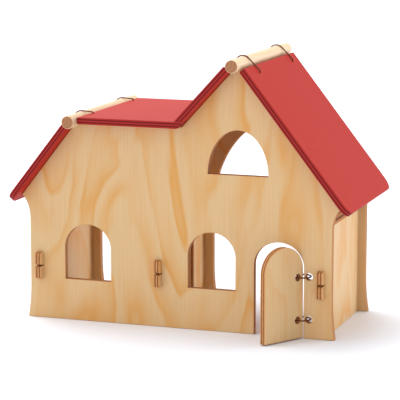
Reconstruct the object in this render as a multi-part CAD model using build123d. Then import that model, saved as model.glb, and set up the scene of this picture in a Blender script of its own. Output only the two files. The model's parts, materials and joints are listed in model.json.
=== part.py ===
"""A doll's house of pine-faced plywood: two gabled walls, three cross walls, four roof panels
tied over two ridge dowels, and an arched door that hangs on two wire rings.

Millimetres, +Z up, the front of the house towards -Y.  Everything is laid out in house
coordinates first: X is 0 midway between the waists of the gabled walls, Y is 0 on the outer
face of the front wall and Z is 0 on the floor.  The last step moves the whole house so that
the origin is under the middle of its box.
"""
from build123d import *
from math import acos, asin, atan2, cos, pi, radians, sin, sqrt, tan
import os

# ---------------------------------------------------------------- sheet, rod and wire
PLY = 9.5                    # thickness of every plywood sheet
DOWEL_R = 9.0                # ridge dowels
TIE_R = 0.9                  # wire of the roof ties
RING_WIRE_R = 1.1            # wire of the door rings
EDGE_ROUND = 0.8             # sanded edges of the walls and the door
ROOF_ROUND = 1.6             # rounder edges of the painted roof panels

# ---------------------------------------------------------------- gabled walls
WAIST = 441.3                # width between the waists
HOUSE_DEPTH = 192.5          # over the outer faces of the gabled walls
TOE_SPREAD = 4.4             # how far a foot stands out past the waist
TOE_HEIGHT = 52.0
EAVE_FLARE_R = 48.0          # curve from the waist out to the eave
RIGHT_EAVE_REACH = 14.1      # waist to eave tip
LEFT_EAVE_REACH = 11.8
STEEP_PITCH = 51.85          # outer slopes, both gables
VALLEY_PITCH = 47.5          # inner slope of the tall gable
TALL_RIDGE_IN = 132.55       # right waist to where the slopes of the tall gable would meet
TALL_RIDGE_Z = 370.8
FLAT_Z = 282.1               # level top edge of the low gable
LOW_RIDGE_IN = 71.65         # left waist to where the level edge meets the left slope
LOW_DOWEL_RISE = 3.6         # the low dowel stands this far above that corner

# ---------------------------------------------------------------- openings of the front wall
WINDOW_W = 68.8
WINDOW_SILL = 58.5
WINDOW_TOP = 138.0
LEFT_WINDOW_IN = 87.45       # left waist to the middle of the left window
RIGHT_WINDOW_IN = 170.85     # the rest are measured from the right waist
ATTIC_IN = 133.25
ATTIC_W = 86.1
ATTIC_SILL = 219.5
ATTIC_RISE = 61.5
DOORWAY_IN = 74.25
DOORWAY_W = 70.7
DOORWAY_TOP = 130.5
DOORWAY_RISE = 34.0          # height of its arch

# ---------------------------------------------------------------- openings of the back wall
REAR_MARGIN = 13.0           # wall left beside each cross wall
REAR_SPRING = 133.0          # height of the jambs
REAR_TALL_RISE = 138.0       # arch of the tall room
REAR_LOW_RISE = 100.0        # arch of the low room

# ---------------------------------------------------------------- cross walls
CROSS_H = 150.0              # partition, and outer faces of the end walls
END_INSET = 10.3             # waist to the outer face of an end wall
PARTITION_IN = 193.25        # left waist to the middle of the partition
TENON_H = 37.4
TENON_Z = 76.0
TENON_PROUD = 9.5
TENON_KERF = 2.0
TENON_ROUND = 4.0
MORTISE_CLEAR = 0.1
PARTITION_DOOR_W = 76.4
PARTITION_DOOR_SPRING = 95.0
PARTITION_DOOR_RISE = 30.0

# ---------------------------------------------------------------- door and its rings
DOOR_GAP = 0.6               # between the leaf and its opening
DOOR_FLOOR_GAP = 1.4
DOOR_OPEN = 59.0             # degrees that the door stands open at rest
RING_HOLE_R = 5.2
RING_HOLE_WALL = 7.3         # jamb to the hole in the wall
RING_HOLE_DOOR = 9.9         # hinge edge of the leaf to its hole
RING_R = 12.2                # centreline of a ring
RING_OFFSET = (-2.4, 2.2)    # middle of a ring from the hinge axis, door at rest
RING_ZS = (86.0, 26.8)
HINGE_OFFSET = (-0.5, -0.3)  # hinge axis from the corner of jamb and outer face

# ---------------------------------------------------------------- roof
FRONT_OVERHANG = 22.0
BACK_OVERHANG = 19.5
ROOF_REST = 0.3              # running gap under every panel
RIDGE_GAP = 2.0              # between a sloping panel and its dowel
FLAT_GAP = 0.8               # between the level panel and its dowel
RIGHT_PANEL_L = 240.7
LEFT_PANEL_L = 140.0
PANEL_CORNER_R = 17.0        # corners at the eaves, in plan
PANEL_SMALL_R = 2.5          # all other corners
DOWEL_FRONT = 33.0           # how far the dowels stand out in front of the wall
DOWEL_BACK = 31.0
DOWEL_ROUND = 1.2
SEAT_CLEAR = 0.1             # glue line between a dowel and its notch

# ---------------------------------------------------------------- ties
TIE_FRONT_Y = 24.0           # front wall's outer face to the front ties
TIE_REAR_IN = 2.0            # back wall's inner face to the rear ties
TIE_SLANT = 12.0             # the left end of a tie lies this much nearer the front
TIE_HOLE_R = 1.9
TIE_HOLE_IN = 12.7           # ridge end of a sloping panel to its tie holes
FLAT_HOLE_IN = 6.0           # the same on the level panel
TIE_UNDER = 2.6              # the wire's run below the panels
TIE_BEND_R = 2.2
TIE_CLEAR = 0.3              # wire to dowel
TIE_END_GAP = 1.0            # between the cut ends of a tie, under the ridge

# ---------------------------------------------------------------- worked out from the above
HALF_WAIST = WAIST / 2
TALL_RIDGE_X = HALF_WAIST - TALL_RIDGE_IN
LOW_RIDGE_X = LOW_RIDGE_IN - HALF_WAIST
WINDOW_XS = (LEFT_WINDOW_IN - HALF_WAIST, HALF_WAIST - RIGHT_WINDOW_IN)
ATTIC_X = HALF_WAIST - ATTIC_IN
DOORWAY_X = HALF_WAIST - DOORWAY_IN
PARTITION_X = PARTITION_IN - HALF_WAIST
STEEP = tan(radians(STEEP_PITCH))
RIGHT_EAVE_X = HALF_WAIST + RIGHT_EAVE_REACH
LEFT_EAVE_X = -HALF_WAIST - LEFT_EAVE_REACH
RIGHT_EAVE = (RIGHT_EAVE_X, TALL_RIDGE_Z - STEEP * (RIGHT_EAVE_X - TALL_RIDGE_X))
LEFT_EAVE = (LEFT_EAVE_X, FLAT_Z - STEEP * (LOW_RIDGE_X - LEFT_EAVE_X))
VALLEY_X = TALL_RIDGE_X - (TALL_RIDGE_Z - FLAT_Z) / tan(radians(VALLEY_PITCH))
LOW_DOWEL = (LOW_RIDGE_X + 0.5, FLAT_Z + LOW_DOWEL_RISE)
FLAT_PANEL_LEFT = LOW_DOWEL[0] + DOWEL_R + FLAT_GAP
TALL_DOWEL = (TALL_RIDGE_X, TALL_RIDGE_Z)
END_X = HALF_WAIST - END_INSET - PLY / 2
JAMB_X = DOORWAY_X + DOORWAY_W / 2
HINGE = (JAMB_X + HINGE_OFFSET[0], HINGE_OFFSET[1])
ROOF_DEPTH = FRONT_OVERHANG + HOUSE_DEPTH + BACK_OVERHANG
TIE_YS = (TIE_FRONT_Y, HOUSE_DEPTH - PLY - TIE_REAR_IN)
TIE_HUG_R = DOWEL_R + TIE_CLEAR + TIE_R
# share of the straight run from hole to dowel that lies over the panel
TIE_RUN = TIE_HOLE_IN / (TIE_HOLE_IN + RIDGE_GAP + DOWEL_R)
TIE_STANDOFF = (TIE_R + TIE_CLEAR + TIE_RUN * (PLY + ROOF_REST - TIE_HUG_R)) / (1 - TIE_RUN)
TIE_OVER = max(TIE_STANDOFF, 2 * TIE_R)   # height of the wire's bend above a panel


def toe_radius():
    return (TOE_HEIGHT ** 2 + TOE_SPREAD ** 2) / (2 * TOE_SPREAD)


def upright(face, y):
    """A sheet of plywood cut to a face drawn in X and Z, its outer side at Y = y."""
    return extrude(Plane.XZ * face, amount=-PLY).translate((0, y, 0))


def crossways(face, x):
    """A sheet of plywood cut to a face drawn in Y and Z, centred on X = x."""
    return extrude(Plane.YZ * face, amount=PLY / 2, both=True).translate((x, 0, 0))


def sanded(sheet, axis, radius):
    """Rounds the long edges of a sheet: those that lie in its two faces."""
    faces = sheet.faces().filter_by(axis)
    big = faces.sort_by(SortBy.AREA)[-2:]
    return fillet(big.edges(), radius)


def toe_arc(x, side):
    """Foot of a jamb or a waist at x that spreads towards side (+1 or -1)."""
    r = toe_radius()
    half = asin(TOE_HEIGHT / r) / 2
    middle = (x + side * (r - r * cos(half)), TOE_HEIGHT - r * sin(half))
    return ThreePointArc((x, TOE_HEIGHT), middle, (x + side * TOE_SPREAD, 0))


def eave_arc(x, tip, side):
    """Curve from the waist at x out to an eave tip."""
    rise = sqrt(EAVE_FLARE_R ** 2 - (EAVE_FLARE_R - abs(tip[0] - x)) ** 2)
    start = tip[1] - rise
    half = asin(rise / EAVE_FLARE_R) / 2
    middle = (x + side * EAVE_FLARE_R * (1 - cos(half)), start + EAVE_FLARE_R * sin(half))
    return ThreePointArc((x, start), middle, tip)


def gable_outline():
    """The silhouette that the front and the back wall share, with a seat for each dowel."""
    right_toe = toe_arc(HALF_WAIST, 1)
    left_toe = toe_arc(-HALF_WAIST, -1)
    right_flare = eave_arc(HALF_WAIST, RIGHT_EAVE, 1)
    left_flare = eave_arc(-HALF_WAIST, LEFT_EAVE, -1)
    valley = (VALLEY_X, FLAT_Z)
    top = Polyline(RIGHT_EAVE, TALL_DOWEL, valley, (LOW_RIDGE_X, FLAT_Z), LEFT_EAVE)
    edges = [
        right_toe,
        Line((HALF_WAIST, TOE_HEIGHT), right_flare @ 0),
        right_flare,
        top,
        left_flare,
        Line((-HALF_WAIST, TOE_HEIGHT), left_flare @ 0),
        left_toe,
        Line(left_toe @ 1, right_toe @ 1),
    ]
    face = make_face(edges)
    for x, z in (TALL_DOWEL, LOW_DOWEL):
        face -= Pos(x, z) * Circle(DOWEL_R + SEAT_CLEAR)
    return face


def arch(width, bottom, spring, rise):
    """An opening centred on X = 0: straight jambs up to the spring if it stands above the
    bottom, then half an ellipse."""
    crown = Pos(0, spring) * Ellipse(width / 2, rise)
    opening = crown & Pos(0, spring + rise) * Rectangle(width * 2, rise * 2)
    if spring > bottom:
        opening += Pos(0, (bottom + spring) / 2) * Rectangle(width, spring - bottom)
    return opening


def toed_arch(left, right, spring, rise):
    """A rear opening: an arch down to the floor whose jambs run out into toes."""
    right_toe = toe_arc(right, -1)
    left_toe = toe_arc(left, 1)
    middle = ((left + right) / 2, spring)
    crown = EllipticalCenterArc(middle, (right - left) / 2, rise, 0, arc_size=180)
    edges = [
        right_toe,
        Line((right, TOE_HEIGHT), (right, spring)),
        crown,
        Line((left, spring), (left, TOE_HEIGHT)),
        left_toe,
        Line(left_toe @ 1, right_toe @ 1),
    ]
    return make_face(edges)


def mortises():
    """Slots for the tenons of the three cross walls."""
    slot = Rectangle(PLY + 2 * MORTISE_CLEAR, TENON_H + 2 * MORTISE_CLEAR)
    return [Pos(x, TENON_Z) * slot for x in (-END_X, PARTITION_X, END_X)]


def front_wall():
    face = gable_outline()
    for x in WINDOW_XS:
        face -= Pos(x, 0) * arch(WINDOW_W, WINDOW_SILL, WINDOW_TOP - WINDOW_W / 2, WINDOW_W / 2)
    face -= Pos(ATTIC_X, 0) * arch(ATTIC_W, ATTIC_SILL, ATTIC_SILL, ATTIC_RISE)
    face -= Pos(DOORWAY_X, 0) * arch(DOORWAY_W, 0, DOORWAY_TOP - DOORWAY_RISE, DOORWAY_RISE)
    wall = sanded(upright(face, 0), Axis.Y, EDGE_ROUND)
    for slot in mortises():
        wall -= upright(slot, 0)
    for z in RING_ZS:
        wall -= upright(Pos(JAMB_X + RING_HOLE_WALL, z) * Circle(RING_HOLE_R), 0)
    return wall


def back_wall():
    face = gable_outline()
    left_room = (-END_X + PLY / 2 + REAR_MARGIN, PARTITION_X - PLY / 2 - REAR_MARGIN)
    right_room = (PARTITION_X + PLY / 2 + REAR_MARGIN, END_X - PLY / 2 - REAR_MARGIN)
    face -= toed_arch(*left_room, REAR_SPRING, REAR_LOW_RISE)
    face -= toed_arch(*right_room, REAR_SPRING, REAR_TALL_RISE)
    wall = sanded(upright(face, HOUSE_DEPTH - PLY), Axis.Y, EDGE_ROUND)
    for slot in mortises():
        wall -= upright(slot, HOUSE_DEPTH - PLY)
    return wall


def cross_wall(x, doorway=False):
    """A wall between the gabled walls, with a split tenon through each of them."""
    inside = HOUSE_DEPTH - 2 * PLY
    face = Pos(HOUSE_DEPTH / 2, CROSS_H / 2) * Rectangle(inside, CROSS_H)
    if doorway:
        opening = arch(PARTITION_DOOR_W, 0, PARTITION_DOOR_SPRING, PARTITION_DOOR_RISE)
        face -= Pos(HOUSE_DEPTH / 2, 0) * opening
    tongue = HOUSE_DEPTH + 2 * TENON_PROUD
    prong = (TENON_H - TENON_KERF) / 2
    for side in (-1, 1):
        middle = TENON_Z + side * (prong + TENON_KERF) / 2
        strip = Pos(HOUSE_DEPTH / 2, middle) * RectangleRounded(tongue, prong, TENON_ROUND)
        ends = strip - Pos(HOUSE_DEPTH / 2, middle) * Rectangle(inside, prong)
        face += ends
    return crossways(face, x)


def end_wall(side):
    """A cross wall at one end, whose top edge rises inwards at the slope of the roof."""
    outer = side * (END_X + PLY / 2)
    inner = side * (END_X - PLY / 2)
    peak = CROSS_H + PLY * STEEP
    corners = ((outer, CROSS_H), (inner, CROSS_H), (inner, peak))
    rise = Plane.XZ * make_face(Polyline(*corners, close=True))
    return cross_wall(side * END_X) + extrude(rise, amount=2 * PLY - HOUSE_DEPTH).translate((0, PLY, 0))


def door():
    """The arched leaf, shut in its opening and then swung out to where it stands."""
    width = DOORWAY_W - 2 * DOOR_GAP
    spring = DOORWAY_TOP - DOORWAY_RISE
    face = Pos(DOORWAY_X, 0) * arch(width, DOOR_FLOOR_GAP, spring, DOORWAY_RISE - DOOR_GAP)
    leaf = sanded(upright(face, 0), Axis.Y, EDGE_ROUND)
    for z in RING_ZS:
        leaf -= upright(Pos(JAMB_X - DOOR_GAP - RING_HOLE_DOOR, z) * Circle(RING_HOLE_R), 0)
    return leaf.rotate(Axis((HINGE[0], HINGE[1], 0), (0, 0, 1)), DOOR_OPEN)


def hinge_ring(z):
    middle = (HINGE[0] + RING_OFFSET[0], HINGE[1] + RING_OFFSET[1], z)
    return Pos(*middle) * Torus(RING_R, RING_WIRE_R)


def ridge_dowel(centre):
    length = DOWEL_FRONT + HOUSE_DEPTH + DOWEL_BACK
    rod = Cylinder(DOWEL_R, length, align=(Align.CENTER, Align.CENTER, Align.MIN))
    rod = fillet(rod.edges().filter_by(GeomType.CIRCLE), DOWEL_ROUND)
    return Pos(centre[0], -DOWEL_FRONT, centre[1]) * Rot(-90, 0, 0) * rod


def on_slope(ridge, side, pitch, distance, height):
    """A point down the slope that falls from a ridge towards side, height above that slope."""
    angle = radians(pitch)
    x = ridge[0] + side * (distance * cos(angle) + height * sin(angle))
    z = ridge[1] - distance * sin(angle) + height * cos(angle)
    return (x, z)


def panel_blank(length, eave_r):
    """A flat panel along +X from 0 to length, its depth along +Y, underside at Z = 0."""
    plan = Pos(length / 2, ROOF_DEPTH / 2) * Rectangle(length, ROOF_DEPTH)
    corners = plan.vertices().group_by(Axis.X)
    plan = fillet(corners[0], PANEL_SMALL_R)
    plan = fillet(plan.vertices().sort_by(Axis.X)[-2:], eave_r)
    return extrude(plan, amount=PLY)


def tie_drill():
    return Cylinder(TIE_HOLE_R, PLY * 4)


def tilt(panel, direction, pitch, ridge):
    """Stands a flat panel on the slope that falls from a ridge; direction is +1 or -1 in X."""
    if direction < 0:
        panel = panel.mirror(Plane.YZ)
    turned = panel.rotate(Axis.Y, direction * pitch)
    return turned.translate((ridge[0], -FRONT_OVERHANG, ridge[1]))


def slope_panel(length, direction, pitch, ridge, start):
    """A roof panel that hangs from its ridge and lies on the slopes of both gables."""
    panel = sanded(panel_blank(length, PANEL_CORNER_R), Axis.Z, ROOF_ROUND)
    for y in TIE_YS:
        place = y if direction > 0 else y - TIE_SLANT
        panel -= Pos(TIE_HOLE_IN, FRONT_OVERHANG + place, 0) * tie_drill()
    return tilt(panel.translate((start, 0, ROOF_REST)), direction, pitch, ridge)


def long_roof_panel():
    return slope_panel(RIGHT_PANEL_L, 1, STEEP_PITCH, TALL_DOWEL, DOWEL_R + RIDGE_GAP)


def eave_roof_panel():
    """Lies on the left slope; that slope's line passes beside the low dowel's centre."""
    corner = (LOW_RIDGE_X, FLAT_Z)
    return slope_panel(LEFT_PANEL_L, -1, STEEP_PITCH, corner, left_panel_start())


def left_panel_start():
    """How far down the left slope a panel starts, to clear the low dowel by the ridge gap."""
    pitch = radians(STEEP_PITCH)
    past = (LOW_DOWEL[0] - LOW_RIDGE_X) * cos(pitch) + (LOW_DOWEL[1] - FLAT_Z) * sin(pitch)
    return DOWEL_R + RIDGE_GAP - past


def flat_roof_panel():
    """Lies level on the low gable; its right end is bevelled along the valley slope."""
    left = FLAT_PANEL_LEFT
    low = FLAT_Z + ROOF_REST
    lean = 1 / tan(radians(VALLEY_PITCH))
    side_gap = ROOF_REST / sin(radians(VALLEY_PITCH))
    right_low = VALLEY_X + ROOF_REST * lean - side_gap
    right_high = right_low + PLY * lean
    corners = ((left, low), (right_low, low), (right_high, low + PLY), (left, low + PLY))
    outline = make_face(Polyline(*corners, close=True))
    outline = fillet(outline.vertices().sort_by(Axis.X)[:2], ROOF_ROUND)
    panel = extrude(Plane.XZ * outline, amount=-ROOF_DEPTH).translate((0, -FRONT_OVERHANG, 0))
    for y in TIE_YS:
        panel -= Pos(left + FLAT_HOLE_IN, y, low) * tie_drill()
    return panel


def valley_roof_panel():
    """Hangs from the tall ridge; its lower end stands on the level panel."""
    start = DOWEL_R + RIDGE_GAP
    top_of_flat = FLAT_Z + ROOF_REST + PLY + ROOF_REST

    def place(distance, height):
        return on_slope(TALL_DOWEL, -1, VALLEY_PITCH, distance, height)

    def down_to_flat(height):
        drop = TALL_RIDGE_Z + height * cos(radians(VALLEY_PITCH)) - top_of_flat
        return place(drop / sin(radians(VALLEY_PITCH)), height)

    under = ROOF_REST
    over = ROOF_REST + PLY
    corners = (place(start, under), down_to_flat(under), down_to_flat(over), place(start, over))
    outline = make_face(Polyline(*corners, close=True))
    outline = fillet(outline.vertices().sort_by(Axis.Y)[-2:], ROOF_ROUND)
    panel = extrude(Plane.XZ * outline, amount=-ROOF_DEPTH).translate((0, -FRONT_OVERHANG, 0))
    hole = place(start + TIE_HOLE_IN, PLY / 2)
    for y in TIE_YS:
        panel -= Pos(hole[0], y - TIE_SLANT, hole[1]) * Rot(0, -VALLEY_PITCH, 0) * tie_drill()
    return panel


def slope_hole(ridge, side, pitch, start):
    """Where a tie bends above and below a sloping panel."""
    distance = start + TIE_HOLE_IN
    over = on_slope(ridge, side, pitch, distance, ROOF_REST + PLY + TIE_OVER)
    under = on_slope(ridge, side, pitch, distance, ROOF_REST - TIE_UNDER)
    return over, under


def flat_hole():
    """Where a tie bends above and below the level panel."""
    x = FLAT_PANEL_LEFT + FLAT_HOLE_IN
    return (x, FLAT_Z + ROOF_REST + PLY + TIE_OVER), (x, FLAT_Z + ROOF_REST - TIE_UNDER)


def over_dowel(dowel, left, right):
    """Where the straight runs up from two points would meet above a dowel that both touch."""
    turns = []
    for side, point in ((-1, left), (1, right)):
        dx = (point[0] - dowel[0]) * side
        dz = point[1] - dowel[1]
        turns.append(atan2(dz, dx) + acos(TIE_HUG_R / sqrt(dx * dx + dz * dz)))
    middle = (pi - turns[0] + turns[1]) / 2
    reach = TIE_HUG_R / cos((pi - turns[0] - turns[1]) / 2)
    return (dowel[0] + reach * cos(middle), dowel[1] + reach * sin(middle))


def between(a, b, share):
    return tuple(p + (q - p) * share for p, q in zip(a, b))


def tie(dowel, left, right, y):
    """A loop of wire over a dowel, down through both panels and back below the ridge."""
    top = over_dowel(dowel, left[0], right[0])
    left_over, left_under = [(x, y - TIE_SLANT, z) for x, z in left]
    right_over, right_under = [(x, y, z) for x, z in right]
    half_gap = TIE_END_GAP / 2 / (Vector(*right_under) - Vector(*left_under)).length
    route = (
        between(left_under, right_under, 0.5 + half_gap),
        right_under,
        right_over,
        (top[0], y - TIE_SLANT / 2, top[1]),
        left_over,
        left_under,
        between(left_under, right_under, 0.5 - half_gap),
    )
    bends = (TIE_BEND_R, TIE_BEND_R, TIE_HUG_R, TIE_BEND_R, TIE_BEND_R)
    path = FilletPolyline(*route, radius=bends)
    return sweep(Plane(origin=path @ 0, z_dir=path % 0) * Circle(TIE_R), path=path)


def ties():
    """Two ties over each ridge."""
    valley_side = slope_hole(TALL_DOWEL, -1, VALLEY_PITCH, DOWEL_R + RIDGE_GAP)
    long_side = slope_hole(TALL_DOWEL, 1, STEEP_PITCH, DOWEL_R + RIDGE_GAP)
    eave_side = slope_hole((LOW_RIDGE_X, FLAT_Z), -1, STEEP_PITCH, left_panel_start())
    made = {}
    for place, y in zip(("front", "rear"), TIE_YS):
        made[f"tall_{place}_tie"] = tie(TALL_DOWEL, valley_side, long_side, y)
        made[f"low_{place}_tie"] = tie(LOW_DOWEL, eave_side, flat_hole(), y)
    return made


parts = {
    "front_wall": front_wall(),
    "back_wall": back_wall(),
    "left_end_wall": end_wall(-1),
    "partition_wall": cross_wall(PARTITION_X, doorway=True),
    "right_end_wall": end_wall(1),
    "door": door(),
    "upper_hinge_ring": hinge_ring(RING_ZS[0]),
    "lower_hinge_ring": hinge_ring(RING_ZS[1]),
    "tall_ridge_dowel": ridge_dowel(TALL_DOWEL),
    "low_ridge_dowel": ridge_dowel(LOW_DOWEL),
    "long_roof_panel": long_roof_panel(),
    "valley_roof_panel": valley_roof_panel(),
    "flat_roof_panel": flat_roof_panel(),
    "eave_roof_panel": eave_roof_panel(),
    **ties(),
}

boxes = [piece.bounding_box() for piece in parts.values()]
ORIGIN = (
    (min(b.min.X for b in boxes) + max(b.max.X for b in boxes)) / 2,
    (min(b.min.Y for b in boxes) + max(b.max.Y for b in boxes)) / 2,
)

os.makedirs("parts", exist_ok=True)
for name, piece in parts.items():
    solid = piece.solid().translate((-ORIGIN[0], -ORIGIN[1], 0))
    solid.label = name
    export_step(solid, f"parts/{name}.step")
print("origin in house coordinates", ORIGIN)
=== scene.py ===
"""A plywood doll's house with a tied red roof, dressed and lit around its measured frame."""

import json
import math

import bpy
from mathutils import Matrix, Vector


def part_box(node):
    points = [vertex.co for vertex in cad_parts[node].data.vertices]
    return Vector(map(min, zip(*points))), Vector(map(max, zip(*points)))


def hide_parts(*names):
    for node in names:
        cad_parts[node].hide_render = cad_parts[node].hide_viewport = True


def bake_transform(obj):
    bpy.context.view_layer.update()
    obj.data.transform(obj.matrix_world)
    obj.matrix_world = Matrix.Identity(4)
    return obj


bl_info = {
    "name": "Plywood doll's house",
    "version": (1, 0, 0),
    "blender": (4, 5, 0),
    "location": "View3D > Sidebar > Doll's house",
    "description": "Gives the doll's house its wood, paint and wire, and sets it on a pale floor",
    "category": "Object",
}

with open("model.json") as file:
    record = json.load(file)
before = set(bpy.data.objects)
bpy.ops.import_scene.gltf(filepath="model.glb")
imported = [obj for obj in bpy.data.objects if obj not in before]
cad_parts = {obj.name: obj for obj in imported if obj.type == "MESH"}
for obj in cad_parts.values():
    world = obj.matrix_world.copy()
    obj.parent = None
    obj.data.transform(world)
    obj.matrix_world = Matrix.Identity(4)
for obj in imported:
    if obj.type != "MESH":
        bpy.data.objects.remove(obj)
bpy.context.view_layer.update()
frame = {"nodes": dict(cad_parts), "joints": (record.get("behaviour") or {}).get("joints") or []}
NODES = frame["nodes"]
JOINTS = {joint["name"]: joint for joint in frame["joints"]}

MM = 0.001
UP, SIDE, DEEP = Vector((0, 0, 1)), Vector((1, 0, 0)), Vector((0, 1, 0))

# The sheets. All lengths are in metres.
PLIES = 5
RUNNING_GAP = 0.3 * MM                          # under the roof panels, and from the door's axis to its face
EAVE_SLOPE_TOP = Vector((-0.5, 0, -3.6)) * MM   # top of the left slope, from the low dowel's axis
EDGE_UNTIL, FACE_FROM = 0.8, 0.97               # how squarely a surface faces out: sawn edge, veneered face
GLUE_SOFTNESS = 0.35                            # how gently one ply turns into the next

# Sizes of the veneer's figure along the grain, across it and through the sheet.
FLAME_THROUGH = 0.060
FADE_SIZES = (0.150, 0.070, 0.060)
FIBRE_LENGTH, FIBRE_THROUGH = 0.090, 0.004
SPECK_SIZES = (0.003, 0.003, 0.0019)
YEAR_RINGS = 7                                  # contour lines over the full height of the figure
FLAME_PROFILE = ((0.0, 0.0), (0.28, 0.08), (0.6, 0.5), (0.84, 1.0), (0.98, 0.1))
FAINTEST_FLAME = 0.3

# Where on the veneer a sheet is cut, so that no two show the same figure.
LONG_WALL_CUT, CROSS_WALL_CUT, DOOR_CUT = (0.53, 0.16, 0.0), (0.9, 0.2, 0.0), (0.5, 0.77, 0.0)
NEXT_WALL, NEXT_PANEL = 0.37, 0.4
DOOR_BOLDNESS = 0.4                             # the door's leaf has a quiet figure

# The paint, the dowels and the wire.
RAISED_GRAIN_SIZES = (0.060, 0.0018, 0.004)
DOWEL_FIBRE_SIZES = (0.0024, 0.0024, 0.070)
DOWEL_RING_SIZES = (0.014, 0.014, 0.400)
DOWEL_HEART = (0.006, 0.003, 0.0)               # the rod's axis, from the heart of its tree
WIRE_WEAR = 0.003

# The ties, cut in halves so that they can bend.
TIE_SLICES = 14
WELD = 0.01 * MM
SMOOTH_UNDER = math.radians(50)

# The stage.
FLOOR_WIDTH, FLOOR_DROP = 40, 0.2 * MM
SURROUND_SEEN, SURROUND_LIGHT = 1.0, 0.68
LAMPS = (                                       # name, strength, spread and turn in degrees
    ("low side light", 1.35, 30, (78, 0, 128)),
    ("high light", 2.7, 70, (36, 0, -117)),
    ("front light", 0.45, 60, (55, 0, -20)),
)
CAMERA_PLACE, CAMERA_AIM = Vector((0.88410, -2.56058, 0.64639)), Vector((-0.01274, 0.04667, 0.15862))
CAMERA_SENSOR, CAMERA_LENS, CAMERA_NEAR = 36, 175.1, 0.05


def linear(hex_colour):
    """An sRGB hex colour as the linear RGBA that shaders take."""
    parts = [int(hex_colour[i:i + 2], 16) / 255 for i in (0, 2, 4)]
    return tuple(c / 12.92 if c <= 0.04045 else ((c + 0.055) / 1.055) ** 2.4 for c in parts) + (1.0,)


def colour(name, description, default):
    return bpy.props.FloatVectorProperty(
        name=name, description=description, subtype="COLOR", size=4, min=0, max=1, default=linear(default)
    )


def length(name, description, default):
    return bpy.props.FloatProperty(
        name=name, description=description, unit="LENGTH", precision=4, min=0.00001, default=default
    )


def angle(name, description, default):
    return bpy.props.FloatProperty(
        name=name, description=description, subtype="ANGLE", default=math.radians(default)
    )


class HouseColours(bpy.types.PropertyGroup):
    """Colours of the wood, the paint, the wire and the floor."""

    pine: colour("Pine veneer", "Early wood of the face veneer", "D8B585")
    pine_band: colour("Pine band", "Late wood, the orange figure of the veneer", "D59A50")
    pine_fibre: colour("Pine fibre", "Fine streaks along the grain", "C99C68")
    cut_long: colour("Cut long ply", "Sawn edge of the plies that run along the sheet", "CC9058")
    cut_cross: colour("Cut cross ply", "Sawn edge of the plies that run across the sheet", "6C3A1A")
    paint: colour("Roof paint", "Red paint on the faces of the roof panels", "B2281E")
    paint_edge: colour("Edge paint", "The same paint on the sawn edges, which drink it", "A8302A")
    paint_line: colour("Sunk ply", "Paint in the cross plies of a roof panel, which drink most", "6A1418")
    dowel: colour("Dowel", "Side of the ridge dowels", "E8CBA6")
    dowel_end: colour("Dowel end", "End grain of the ridge dowels", "AC7448")
    wire: colour("Wire", "Dark lacquered wire of the ties and the door rings", "6E3C20")
    floor: colour("Floor", "Plain floor under the house", "F1F5FC")


class HouseSizes(bpy.types.PropertyGroup):
    """Sizes of the sheets and of the wood's figure, and the roof's slopes."""

    ply: length("Sheet thickness", "Thickness of every plywood sheet", 0.0095)
    flame_length: length("Flame length", "Length of one flame of the veneer's figure", 0.320)
    flame_width: length("Flame width", "Width of one flame of the veneer's figure", 0.110)
    fibre_width: length("Fibre width", "Spacing of the fine streaks, coarse enough to show", 0.0022)
    mottle: length("Paint mottle", "Size of the roller's mottle in the paint", 0.005)
    steep: angle("Steep slope", "Pitch of the outer slopes", 51.85)
    valley: angle("Valley slope", "Pitch of the tall gable's inner slope", 47.5)


def add(tree, kind, inputs=None, stops=None, **settings):
    """Adds a node with its settings; each input takes a value or another node's output."""
    made = tree.nodes.new(kind)
    for key, value in settings.items():
        setattr(made, key, value)
    for key, value in (inputs or {}).items():
        if isinstance(value, bpy.types.NodeSocket):
            tree.links.new(value, made.inputs[key])
        else:
            made.inputs[key].default_value = value
    if stops:
        points = made.color_ramp.elements
        while len(points) < len(stops):
            points.new(1.0)
        for point, (place, level) in zip(points, stops):
            point.position = place
            point.color = (level, level, level, 1.0)
    return made


def new_material(name):
    """An empty material with its surface shader; returns the material, its tree and the shader."""
    material = bpy.data.materials.new(name)
    material.use_nodes = True
    tree = material.node_tree
    tree.nodes.clear()
    shader = add(tree, "ShaderNodeBsdfPrincipled")
    add(tree, "ShaderNodeOutputMaterial", {"Surface": shader.outputs[0]})
    return material, tree, shader


def sheet_place(tree, corner, grain, depth):
    """Coordinates that follow one sheet: X along its grain, Y across and Z through its thickness.

    Returns the place, the depth below the sheet's face and how squarely the surface faces out."""
    across = depth.cross(grain)
    turn = Matrix((grain, across, depth)).transposed().to_euler()
    source = add(tree, "ShaderNodeTexCoord")
    place = add(tree, "ShaderNodeMapping", {
        "Vector": source.outputs["Object"], "Location": corner, "Rotation": turn}, vector_type="TEXTURE")
    facing = add(tree, "ShaderNodeMapping", {
        "Vector": source.outputs["Normal"], "Rotation": turn}, vector_type="TEXTURE")
    through = add(tree, "ShaderNodeSeparateXYZ", {0: place.outputs[0]})
    out = add(tree, "ShaderNodeSeparateXYZ", {0: facing.outputs[0]})
    square = add(tree, "ShaderNodeMath", {0: out.outputs["Z"]}, operation="ABSOLUTE")
    face = add(tree, "ShaderNodeMapRange", {
        "Value": square.outputs[0], "From Min": EDGE_UNTIL, "From Max": FACE_FROM},
        interpolation_type="SMOOTHSTEP")
    return place.outputs[0], through.outputs["Z"], face.outputs[0]


def stretched(tree, place, sizes, shift=(0, 0, 0)):
    """The same place counted in grains of the given sizes."""
    moved = add(tree, "ShaderNodeVectorMath", {0: place, 1: shift}, operation="ADD")
    rates = tuple(1 / size for size in sizes)
    return add(tree, "ShaderNodeVectorMath", {0: moved.outputs[0], 1: rates}, operation="MULTIPLY").outputs[0]


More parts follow.
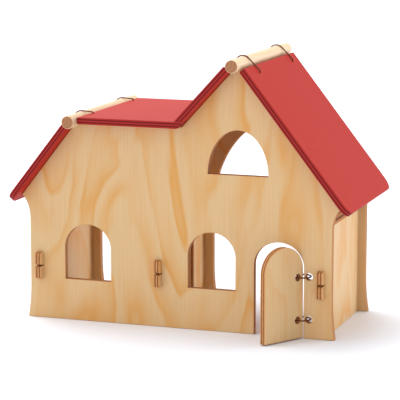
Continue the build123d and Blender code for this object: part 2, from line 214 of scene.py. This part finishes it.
def ply_stripes(tree, depth, thickness):
    """1 in the plies that run across the sheet, 0 in the others, with a soft glue line between."""
    turns = add(tree, "ShaderNodeMath", {0: depth, 1: PLIES * math.pi / thickness}, operation="MULTIPLY")
    wave = add(tree, "ShaderNodeMath", {0: turns.outputs[0]}, operation="SINE")
    return add(tree, "ShaderNodeMapRange", {
        "Value": wave.outputs[0], "From Min": GLUE_SOFTNESS, "From Max": -GLUE_SOFTNESS},
        interpolation_type="SMOOTHSTEP").outputs[0]


def flames(tree, place, shift, boldness):
    """The veneer's figure: year rings as contour lines, drawn out along the grain and fading in places."""
    size = bpy.context.scene.house_sizes
    hills = add(tree, "ShaderNodeTexNoise", {
        "Vector": stretched(tree, place, (size.flame_length, size.flame_width, FLAME_THROUGH), shift),
        "Scale": 1.0, "Detail": 3.0, "Roughness": 0.45, "Distortion": 0.45})
    contours = add(tree, "ShaderNodeMath", {0: hills.outputs[0], 1: YEAR_RINGS}, operation="MULTIPLY")
    year = add(tree, "ShaderNodeMath", {0: contours.outputs[0]}, operation="FRACT")
    flame = add(tree, "ShaderNodeValToRGB", {0: year.outputs[0]}, stops=FLAME_PROFILE)
    fade = add(tree, "ShaderNodeTexNoise", {
        "Vector": stretched(tree, place, FADE_SIZES, shift), "Scale": 1.0, "Detail": 1.0})
    strength = add(tree, "ShaderNodeMapRange", {
        "Value": fade.outputs[0], "From Min": 0.36, "From Max": 0.62,
        "To Min": FAINTEST_FLAME * boldness, "To Max": boldness})
    figure = add(tree, "ShaderNodeMath", {0: flame.outputs[0], 1: strength.outputs[0]}, operation="MULTIPLY")
    return figure.outputs[0]


def plywood(name, corner, grain, depth, shift, boldness=1.0):
    """Pine-faced birch plywood, oiled: a pale face with orange flames, sawn edges with brown plies."""
    tint, size = bpy.context.scene.house_colours, bpy.context.scene.house_sizes
    material, tree, shader = new_material(name)
    place, through, face = sheet_place(tree, corner, grain, depth)
    figure = flames(tree, place, shift, boldness)
    fibre = add(tree, "ShaderNodeTexNoise", {
        "Vector": stretched(tree, place, (FIBRE_LENGTH, size.fibre_width, FIBRE_THROUGH), shift),
        "Scale": 1.0, "Detail": 3.0, "Roughness": 0.6})
    streak = add(tree, "ShaderNodeMapRange", {
        "Value": fibre.outputs[0], "From Min": 0.42, "From Max": 0.8, "To Max": 0.45})
    early = add(tree, "ShaderNodeMix", {
        "Factor": streak.outputs[0], 6: tint.pine, 7: tint.pine_fibre}, data_type="RGBA")
    veneer = add(tree, "ShaderNodeMix", {
        "Factor": figure, 6: early.outputs[2], 7: tint.pine_band}, data_type="RGBA")
    # A saw leaves the edges darker; the cross plies show their end grain and are darkest.
    stripes = ply_stripes(tree, through, size.ply)
    speck = add(tree, "ShaderNodeTexNoise", {
        "Vector": stretched(tree, place, SPECK_SIZES, shift), "Scale": 1.0, "Detail": 2.0})
    uneven = add(tree, "ShaderNodeMapRange", {
        "Value": speck.outputs[0], "From Min": 0.3, "From Max": 0.7, "To Min": 0.7, "To Max": 1.0})
    dark = add(tree, "ShaderNodeMath", {0: stripes, 1: uneven.outputs[0]}, operation="MULTIPLY")
    edge = add(tree, "ShaderNodeMix", {
        "Factor": dark.outputs[0], 6: tint.cut_long, 7: tint.cut_cross}, data_type="RGBA")
    wood = add(tree, "ShaderNodeMix", {
        "Factor": face, 6: edge.outputs[2], 7: veneer.outputs[2]}, data_type="RGBA")
    # The oiled face has a slight shine that the sawn edges lack.
    rough = add(tree, "ShaderNodeMapRange", {"Value": face, "To Min": 0.72, "To Max": 0.5})
    height = add(tree, "ShaderNodeMath", {0: fibre.outputs[0], 1: figure}, operation="ADD")
    bump = add(tree, "ShaderNodeBump", {"Height": height.outputs[0], "Strength": 0.18, "Distance": 0.15 * MM})
    tree.links.new(wood.outputs[2], shader.inputs["Base Color"])
    tree.links.new(rough.outputs[0], shader.inputs["Roughness"])
    tree.links.new(bump.outputs[0], shader.inputs["Normal"])
    shader.inputs["IOR"].default_value = 1.45
    shader.inputs["Specular IOR Level"].default_value = 0.35
    return material


def painted_plywood(name, corner, grain, depth, shift):
    """Plywood under satin red paint: even on the faces, sunk and darker in the plies of its edges."""
    tint, size = bpy.context.scene.house_colours, bpy.context.scene.house_sizes
    material, tree, shader = new_material(name)
    place, through, face = sheet_place(tree, corner, grain, depth)
    mottle = add(tree, "ShaderNodeTexNoise", {
        "Vector": stretched(tree, place, (size.mottle, size.mottle, size.mottle), shift),
        "Scale": 1.0, "Detail": 4.0, "Roughness": 0.65})
    cloud = add(tree, "ShaderNodeMapRange", {
        "Value": mottle.outputs[0], "From Min": 0.3, "From Max": 0.7, "To Max": 0.16})
    rolled = add(tree, "ShaderNodeMix", {
        "Factor": cloud.outputs[0], 6: tint.paint, 7: tint.paint_edge}, data_type="RGBA")
    # The cross plies drink the paint and sink, which draws dark lines along the edges.
    stripes = ply_stripes(tree, through, size.ply)
    edge = add(tree, "ShaderNodeMix", {
        "Factor": stripes, 6: tint.paint_edge, 7: tint.paint_line}, data_type="RGBA")
    paint = add(tree, "ShaderNodeMix", {
        "Factor": face, 6: edge.outputs[2], 7: rolled.outputs[2]}, data_type="RGBA")
    rough = add(tree, "ShaderNodeMapRange", {
        "Value": mottle.outputs[0], "From Min": 0.3, "From Max": 0.7, "To Min": 0.46, "To Max": 0.54})
    raised_grain = add(tree, "ShaderNodeTexNoise", {
        "Vector": stretched(tree, place, RAISED_GRAIN_SIZES, shift), "Scale": 1.0, "Detail": 3.0})
    sawn = add(tree, "ShaderNodeMapRange", {"Value": face, "To Min": 1.0, "To Max": 0.0})
    sunk = add(tree, "ShaderNodeMath", {0: stripes, 1: sawn.outputs[0]}, operation="MULTIPLY")
    height = add(tree, "ShaderNodeMath", {
        0: raised_grain.outputs[0], 1: sunk.outputs[0]}, operation="SUBTRACT")
    bump = add(tree, "ShaderNodeBump", {"Height": height.outputs[0], "Strength": 0.06, "Distance": 0.15 * MM})
    tree.links.new(paint.outputs[2], shader.inputs["Base Color"])
    tree.links.new(rough.outputs[0], shader.inputs["Roughness"])
    tree.links.new(bump.outputs[0], shader.inputs["Normal"])
    shader.inputs["IOR"].default_value = 1.45
    shader.inputs["Specular IOR Level"].default_value = 0.1
    return material


def dowel_wood(name, centre):
    """Turned beech rod: fine streaks along its side and faint year rings on its ends."""
    tint = bpy.context.scene.house_colours
    material, tree, shader = new_material(name)
    place, _, end = sheet_place(tree, centre, SIDE, DEEP)
    fibre = add(tree, "ShaderNodeTexNoise", {
        "Vector": stretched(tree, place, DOWEL_FIBRE_SIZES), "Scale": 1.0, "Detail": 3.0})
    streak = add(tree, "ShaderNodeMapRange", {
        "Value": fibre.outputs[0], "From Min": 0.42, "From Max": 0.75, "To Max": 0.45})
    side = add(tree, "ShaderNodeMix", {
        "Factor": streak.outputs[0], 6: tint.dowel, 7: tint.pine_fibre}, data_type="RGBA")
    rings = add(tree, "ShaderNodeTexWave", {
        "Vector": stretched(tree, place, DOWEL_RING_SIZES, DOWEL_HEART), "Scale": 1.0,
        "Distortion": 1.5, "Detail": 2.0, "Detail Scale": 1.0}, wave_type="RINGS", rings_direction="Z")
    tone = add(tree, "ShaderNodeMapRange", {"Value": rings.outputs["Fac"], "To Max": 0.4})
    cut = add(tree, "ShaderNodeMix", {
        "Factor": tone.outputs[0], 6: tint.dowel_end, 7: tint.cut_cross}, data_type="RGBA")
    wood = add(tree, "ShaderNodeMix", {
        "Factor": end, 6: side.outputs[2], 7: cut.outputs[2]}, data_type="RGBA")
    bump = add(tree, "ShaderNodeBump", {"Height": fibre.outputs[0], "Strength": 0.15, "Distance": 0.1 * MM})
    tree.links.new(wood.outputs[2], shader.inputs["Base Color"])
    tree.links.new(bump.outputs[0], shader.inputs["Normal"])
    shader.inputs["Roughness"].default_value = 0.48
    return material


def lacquered_wire(name):
    """Drawn copper wire under dark lacquer: brown, with small soft highlights."""
    tint = bpy.context.scene.house_colours
    material, tree, shader = new_material(name)
    source = add(tree, "ShaderNodeTexCoord")
    wear = add(tree, "ShaderNodeTexNoise", {
        "Vector": source.outputs["Object"], "Scale": 1 / WIRE_WEAR, "Detail": 2.0})
    tone = add(tree, "ShaderNodeMapRange", {
        "Value": wear.outputs[0], "From Min": 0.35, "From Max": 0.7, "To Max": 0.5})
    metal = add(tree, "ShaderNodeMix", {
        "Factor": tone.outputs[0], 6: tint.wire, 7: tint.cut_cross}, data_type="RGBA")
    rough = add(tree, "ShaderNodeMapRange", {"Value": wear.outputs[0], "To Min": 0.3, "To Max": 0.45})
    tree.links.new(metal.outputs[2], shader.inputs["Base Color"])
    tree.links.new(rough.outputs[0], shader.inputs["Roughness"])
    shader.inputs["Metallic"].default_value = 0.85
    return material


def dress(piece, material):
    """Puts one material on a piece."""
    piece.data.materials.clear()
    piece.data.materials.append(material)


def dress_upright(nodes, depth, shift):
    """Plywood with upright grain, each sheet cut from the next stretch of veneer.

    The long walls' veneer is placed from their corners, the cross walls' from the house's middle."""
    for count, name in enumerate(nodes):
        corner = Vector(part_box(name)[0])
        if depth == SIDE:
            corner.y = 0
        moved = tuple(part + count * NEXT_WALL for part in shift)
        dress(NODES[name], plywood(f"pine plywood, {name}", corner, UP, depth, moved))


class HOUSE_OT_walls(bpy.types.Operator):
    """Pine-faced plywood on the two gabled walls and the three cross walls."""

    bl_idname = "house.walls"
    bl_label = "Walls"

    def execute(self, context):
        dress_upright(("front_wall", "back_wall"), DEEP, LONG_WALL_CUT)
        dress_upright(("left_end_wall", "partition_wall", "right_end_wall"), SIDE, CROSS_WALL_CUT)
        return {"FINISHED"}


class HOUSE_OT_door(bpy.types.Operator):
    """Pine-faced plywood on the open door, with its grain upright."""

    bl_idname = "house.door"
    bl_label = "Door"

    def execute(self, context):
        joint = JOINTS["door_swing"]
        opened = -math.radians(joint["range_deg"][0])
        depth = Matrix.Rotation(opened, 3, "Z") @ DEEP
        corner = Vector(joint["pos_m"]) + depth * RUNNING_GAP
        material = plywood("pine plywood, door", corner, UP, depth, DOOR_CUT, DOOR_BOLDNESS)
        dress(NODES["door"], material)
        return {"FINISHED"}


class HOUSE_OT_roof(bpy.types.Operator):
    """Satin red paint on the four roof panels."""

    bl_idname = "house.roof"
    bl_label = "Roof panels"

    def execute(self, context):
        size = context.scene.house_sizes
        tall_ridge = Vector(JOINTS["long_panel_lift"]["pos_m"])
        low_ridge = Vector(JOINTS["eave_panel_lift"]["pos_m"])
        flat_bed = Vector(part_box("flat_roof_panel")[0]) - UP * RUNNING_GAP
        slopes = {
            "long_roof_panel": (tall_ridge, size.steep),
            "valley_roof_panel": (tall_ridge, -size.valley),
            "flat_roof_panel": (flat_bed, 0.0),
            "eave_roof_panel": (low_ridge + EAVE_SLOPE_TOP, -size.steep),
        }
        for count, (name, (on_wall, pitch)) in enumerate(slopes.items()):
            normal = Matrix.Rotation(pitch, 3, "Y") @ UP
            underside = on_wall + normal * RUNNING_GAP
            shift = (0, count * NEXT_PANEL, 0)
            material = painted_plywood(f"red painted plywood, {name}", underside, DEEP, normal, shift)
            dress(NODES[name], material)
        return {"FINISHED"}


class HOUSE_OT_dowels(bpy.types.Operator):
    """Beech for the two ridge dowels."""

    bl_idname = "house.dowels"
    bl_label = "Ridge dowels"

    def execute(self, context):
        for name in ("tall_ridge_dowel", "low_ridge_dowel"):
            low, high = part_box(name)
            centre = (Vector(low) + Vector(high)) / 2
            dress(NODES[name], dowel_wood(f"beech, {name}", centre))
        return {"FINISHED"}


class HOUSE_OT_rings(bpy.types.Operator):
    """Dark wire for the two rings that the door hangs on."""

    bl_idname = "house.rings"
    bl_label = "Door rings"

    def execute(self, context):
        material = lacquered_wire("lacquered wire, rings")
        for name in ("upper_hinge_ring", "lower_hinge_ring"):
            dress(NODES[name], material)
        return {"FINISHED"}


def half_tie(node_name, side, axis_x, reach):
    """One half of a tie's loop, cut from its CAD node and sliced so that it can bend."""
    name = f"{node_name}_{'right' if side > 0 else 'left'}_half"
    piece = bpy.data.objects.new(name, NODES[node_name].data.copy())
    bpy.context.scene.collection.objects.link(piece)
    bpy.ops.object.select_all(action="DESELECT")
    piece.select_set(True)
    bpy.context.view_layer.objects.active = piece
    bpy.ops.object.mode_set(mode="EDIT")
    bpy.ops.mesh.select_all(action="SELECT")
    bpy.ops.mesh.remove_doubles(threshold=WELD)
    bpy.ops.mesh.bisect(
        plane_co=(axis_x, 0, 0), plane_no=(side, 0, 0), use_fill=True, clear_inner=True, clear_outer=False
    )
    for count in range(1, TIE_SLICES):
        bpy.ops.mesh.select_all(action="SELECT")
        bpy.ops.mesh.bisect(plane_co=(axis_x + reach * count / TIE_SLICES, 0, 0), plane_no=(1, 0, 0))
    bpy.ops.mesh.select_all(action="DESELECT")
    bpy.ops.object.mode_set(mode="OBJECT")
    bpy.ops.object.shade_smooth_by_angle(angle=SMOOTH_UNDER)
    return piece


class HOUSE_OT_ties(bpy.types.Operator):
    """The four wire ties over the ridges, each cut in two halves at its ridge dowel's axis."""

    bl_idname = "house.ties"
    bl_label = "Roof ties"

    def execute(self, context):
        material = lacquered_wire("lacquered wire, ties")
        ridges = {
            "tall": ("valley_panel", "long_panel", "long_panel_lift"),
            "low": ("eave_panel", "flat_panel", "eave_panel_lift"),
        }
        for ridge, (left_panel, right_panel, joint) in ridges.items():
            axis_x = JOINTS[joint]["pos_m"][0]
            for place in ("front", "rear"):
                node_name = f"{ridge}_{place}_tie"
                low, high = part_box(node_name)
                for side, panel, tip_x in ((-1, left_panel, low[0]), (1, right_panel, high[0])):
                    reach = tip_x - axis_x
                    piece = half_tie(node_name, side, axis_x, reach)
                    dress(piece, material)
                    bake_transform(piece)
                    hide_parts(node_name)
        return {"FINISHED"}


def lay_floor(context):
    """A wide matt floor, a hair below the house's feet."""
    bpy.ops.object.select_all(action="DESELECT")
    bpy.ops.mesh.primitive_plane_add(size=FLOOR_WIDTH, location=(0, 0, -FLOOR_DROP))
    floor = context.object
    floor.name = "floor"
    material, _, shader = new_material("pale floor")
    shader.inputs["Base Color"].default_value = context.scene.house_colours.floor
    shader.inputs["Roughness"].default_value = 0.9
    shader.inputs["Specular IOR Level"].default_value = 0.0
    floor.data.materials.append(material)


def hang_surround(context):
    """A surround that is seen and mirrored as white, and lights the house more gently than that."""
    world = bpy.data.worlds.new("white surround")
    context.scene.world = world
    world.use_nodes = True
    tree = world.node_tree
    tree.nodes.clear()
    path = add(tree, "ShaderNodeLightPath")
    seen = add(tree, "ShaderNodeMath", {0: path.outputs["Is Camera Ray"], 1: path.outputs["Is Glossy Ray"]},
               operation="ADD")
    plain = add(tree, "ShaderNodeMath", {0: seen.outputs[0], 1: path.outputs["Is Transmission Ray"]},
                operation="ADD", use_clamp=True)
    level = add(tree, "ShaderNodeMapRange", {
        "Value": plain.outputs[0], "To Min": SURROUND_LIGHT, "To Max": SURROUND_SEEN})
    glow = add(tree, "ShaderNodeBackground", {"Color": (1, 1, 1, 1), "Strength": level.outputs[0]})
    add(tree, "ShaderNodeOutputWorld", {"Surface": glow.outputs[0]})


def hang_lamps(context):
    """Broad suns: one low at the right rear, one high at the left rear, a weak one in front."""
    for name, strength, spread, turn in LAMPS:
        bpy.ops.object.light_add(type="SUN", rotation=[math.radians(part) for part in turn])
        lamp = context.object
        lamp.name = name
        lamp.data.energy = strength
        lamp.data.angle = math.radians(spread)


def place_camera(context):
    """A long lens, a little above the house and to the right of its front."""
    bpy.ops.object.camera_add(location=CAMERA_PLACE)
    camera = context.object
    camera.rotation_euler = (CAMERA_AIM - CAMERA_PLACE).to_track_quat("-Z", "Y").to_euler()
    camera.data.sensor_width = CAMERA_SENSOR
    camera.data.lens = CAMERA_LENS
    camera.data.clip_start = CAMERA_NEAR
    context.scene.camera = camera


class HOUSE_OT_stage(bpy.types.Operator):
    """A pale floor, a white surround, soft suns and the camera."""

    bl_idname = "house.stage"
    bl_label = "Stage"

    def execute(self, context):
        lay_floor(context)
        hang_surround(context)
        hang_lamps(context)
        place_camera(context)
        context.scene.view_settings.view_transform = "Standard"
        return {"FINISHED"}


class HOUSE_PT_panel(bpy.types.Panel):
    """Lists the house's pieces, colours and sizes in the sidebar."""

    bl_label = "Doll's house"
    bl_idname = "HOUSE_PT_panel"
    bl_space_type = "VIEW_3D"
    bl_region_type = "UI"
    bl_category = "Doll's house"

    def draw(self, context):
        for operator in OPERATORS:
            self.layout.operator(operator.bl_idname)
        for group in (context.scene.house_colours, context.scene.house_sizes):
            column = self.layout.column()
            for name in group.__annotations__:
                column.prop(group, name)


OPERATORS = (
    HOUSE_OT_walls,
    HOUSE_OT_door,
    HOUSE_OT_roof,
    HOUSE_OT_dowels,
    HOUSE_OT_rings,
    HOUSE_OT_ties,
    HOUSE_OT_stage,
)
CLASSES = (HouseColours, HouseSizes, *OPERATORS, HOUSE_PT_panel)


def register():
    for made in CLASSES:
        bpy.utils.register_class(made)
    bpy.types.Scene.house_colours = bpy.props.PointerProperty(type=HouseColours)
    bpy.types.Scene.house_sizes = bpy.props.PointerProperty(type=HouseSizes)


def unregister():
    del bpy.types.Scene.house_sizes
    del bpy.types.Scene.house_colours
    for made in reversed(CLASSES):
        bpy.utils.unregister_class(made)


def main():
    """Dresses the house and sets the stage."""
    register()
    bpy.ops.house.walls()
    bpy.ops.house.door()
    bpy.ops.house.roof()
    bpy.ops.house.dowels()
    bpy.ops.house.rings()
    bpy.ops.house.ties()
    bpy.ops.house.stage()


if __name__ == "__main__":
    main()
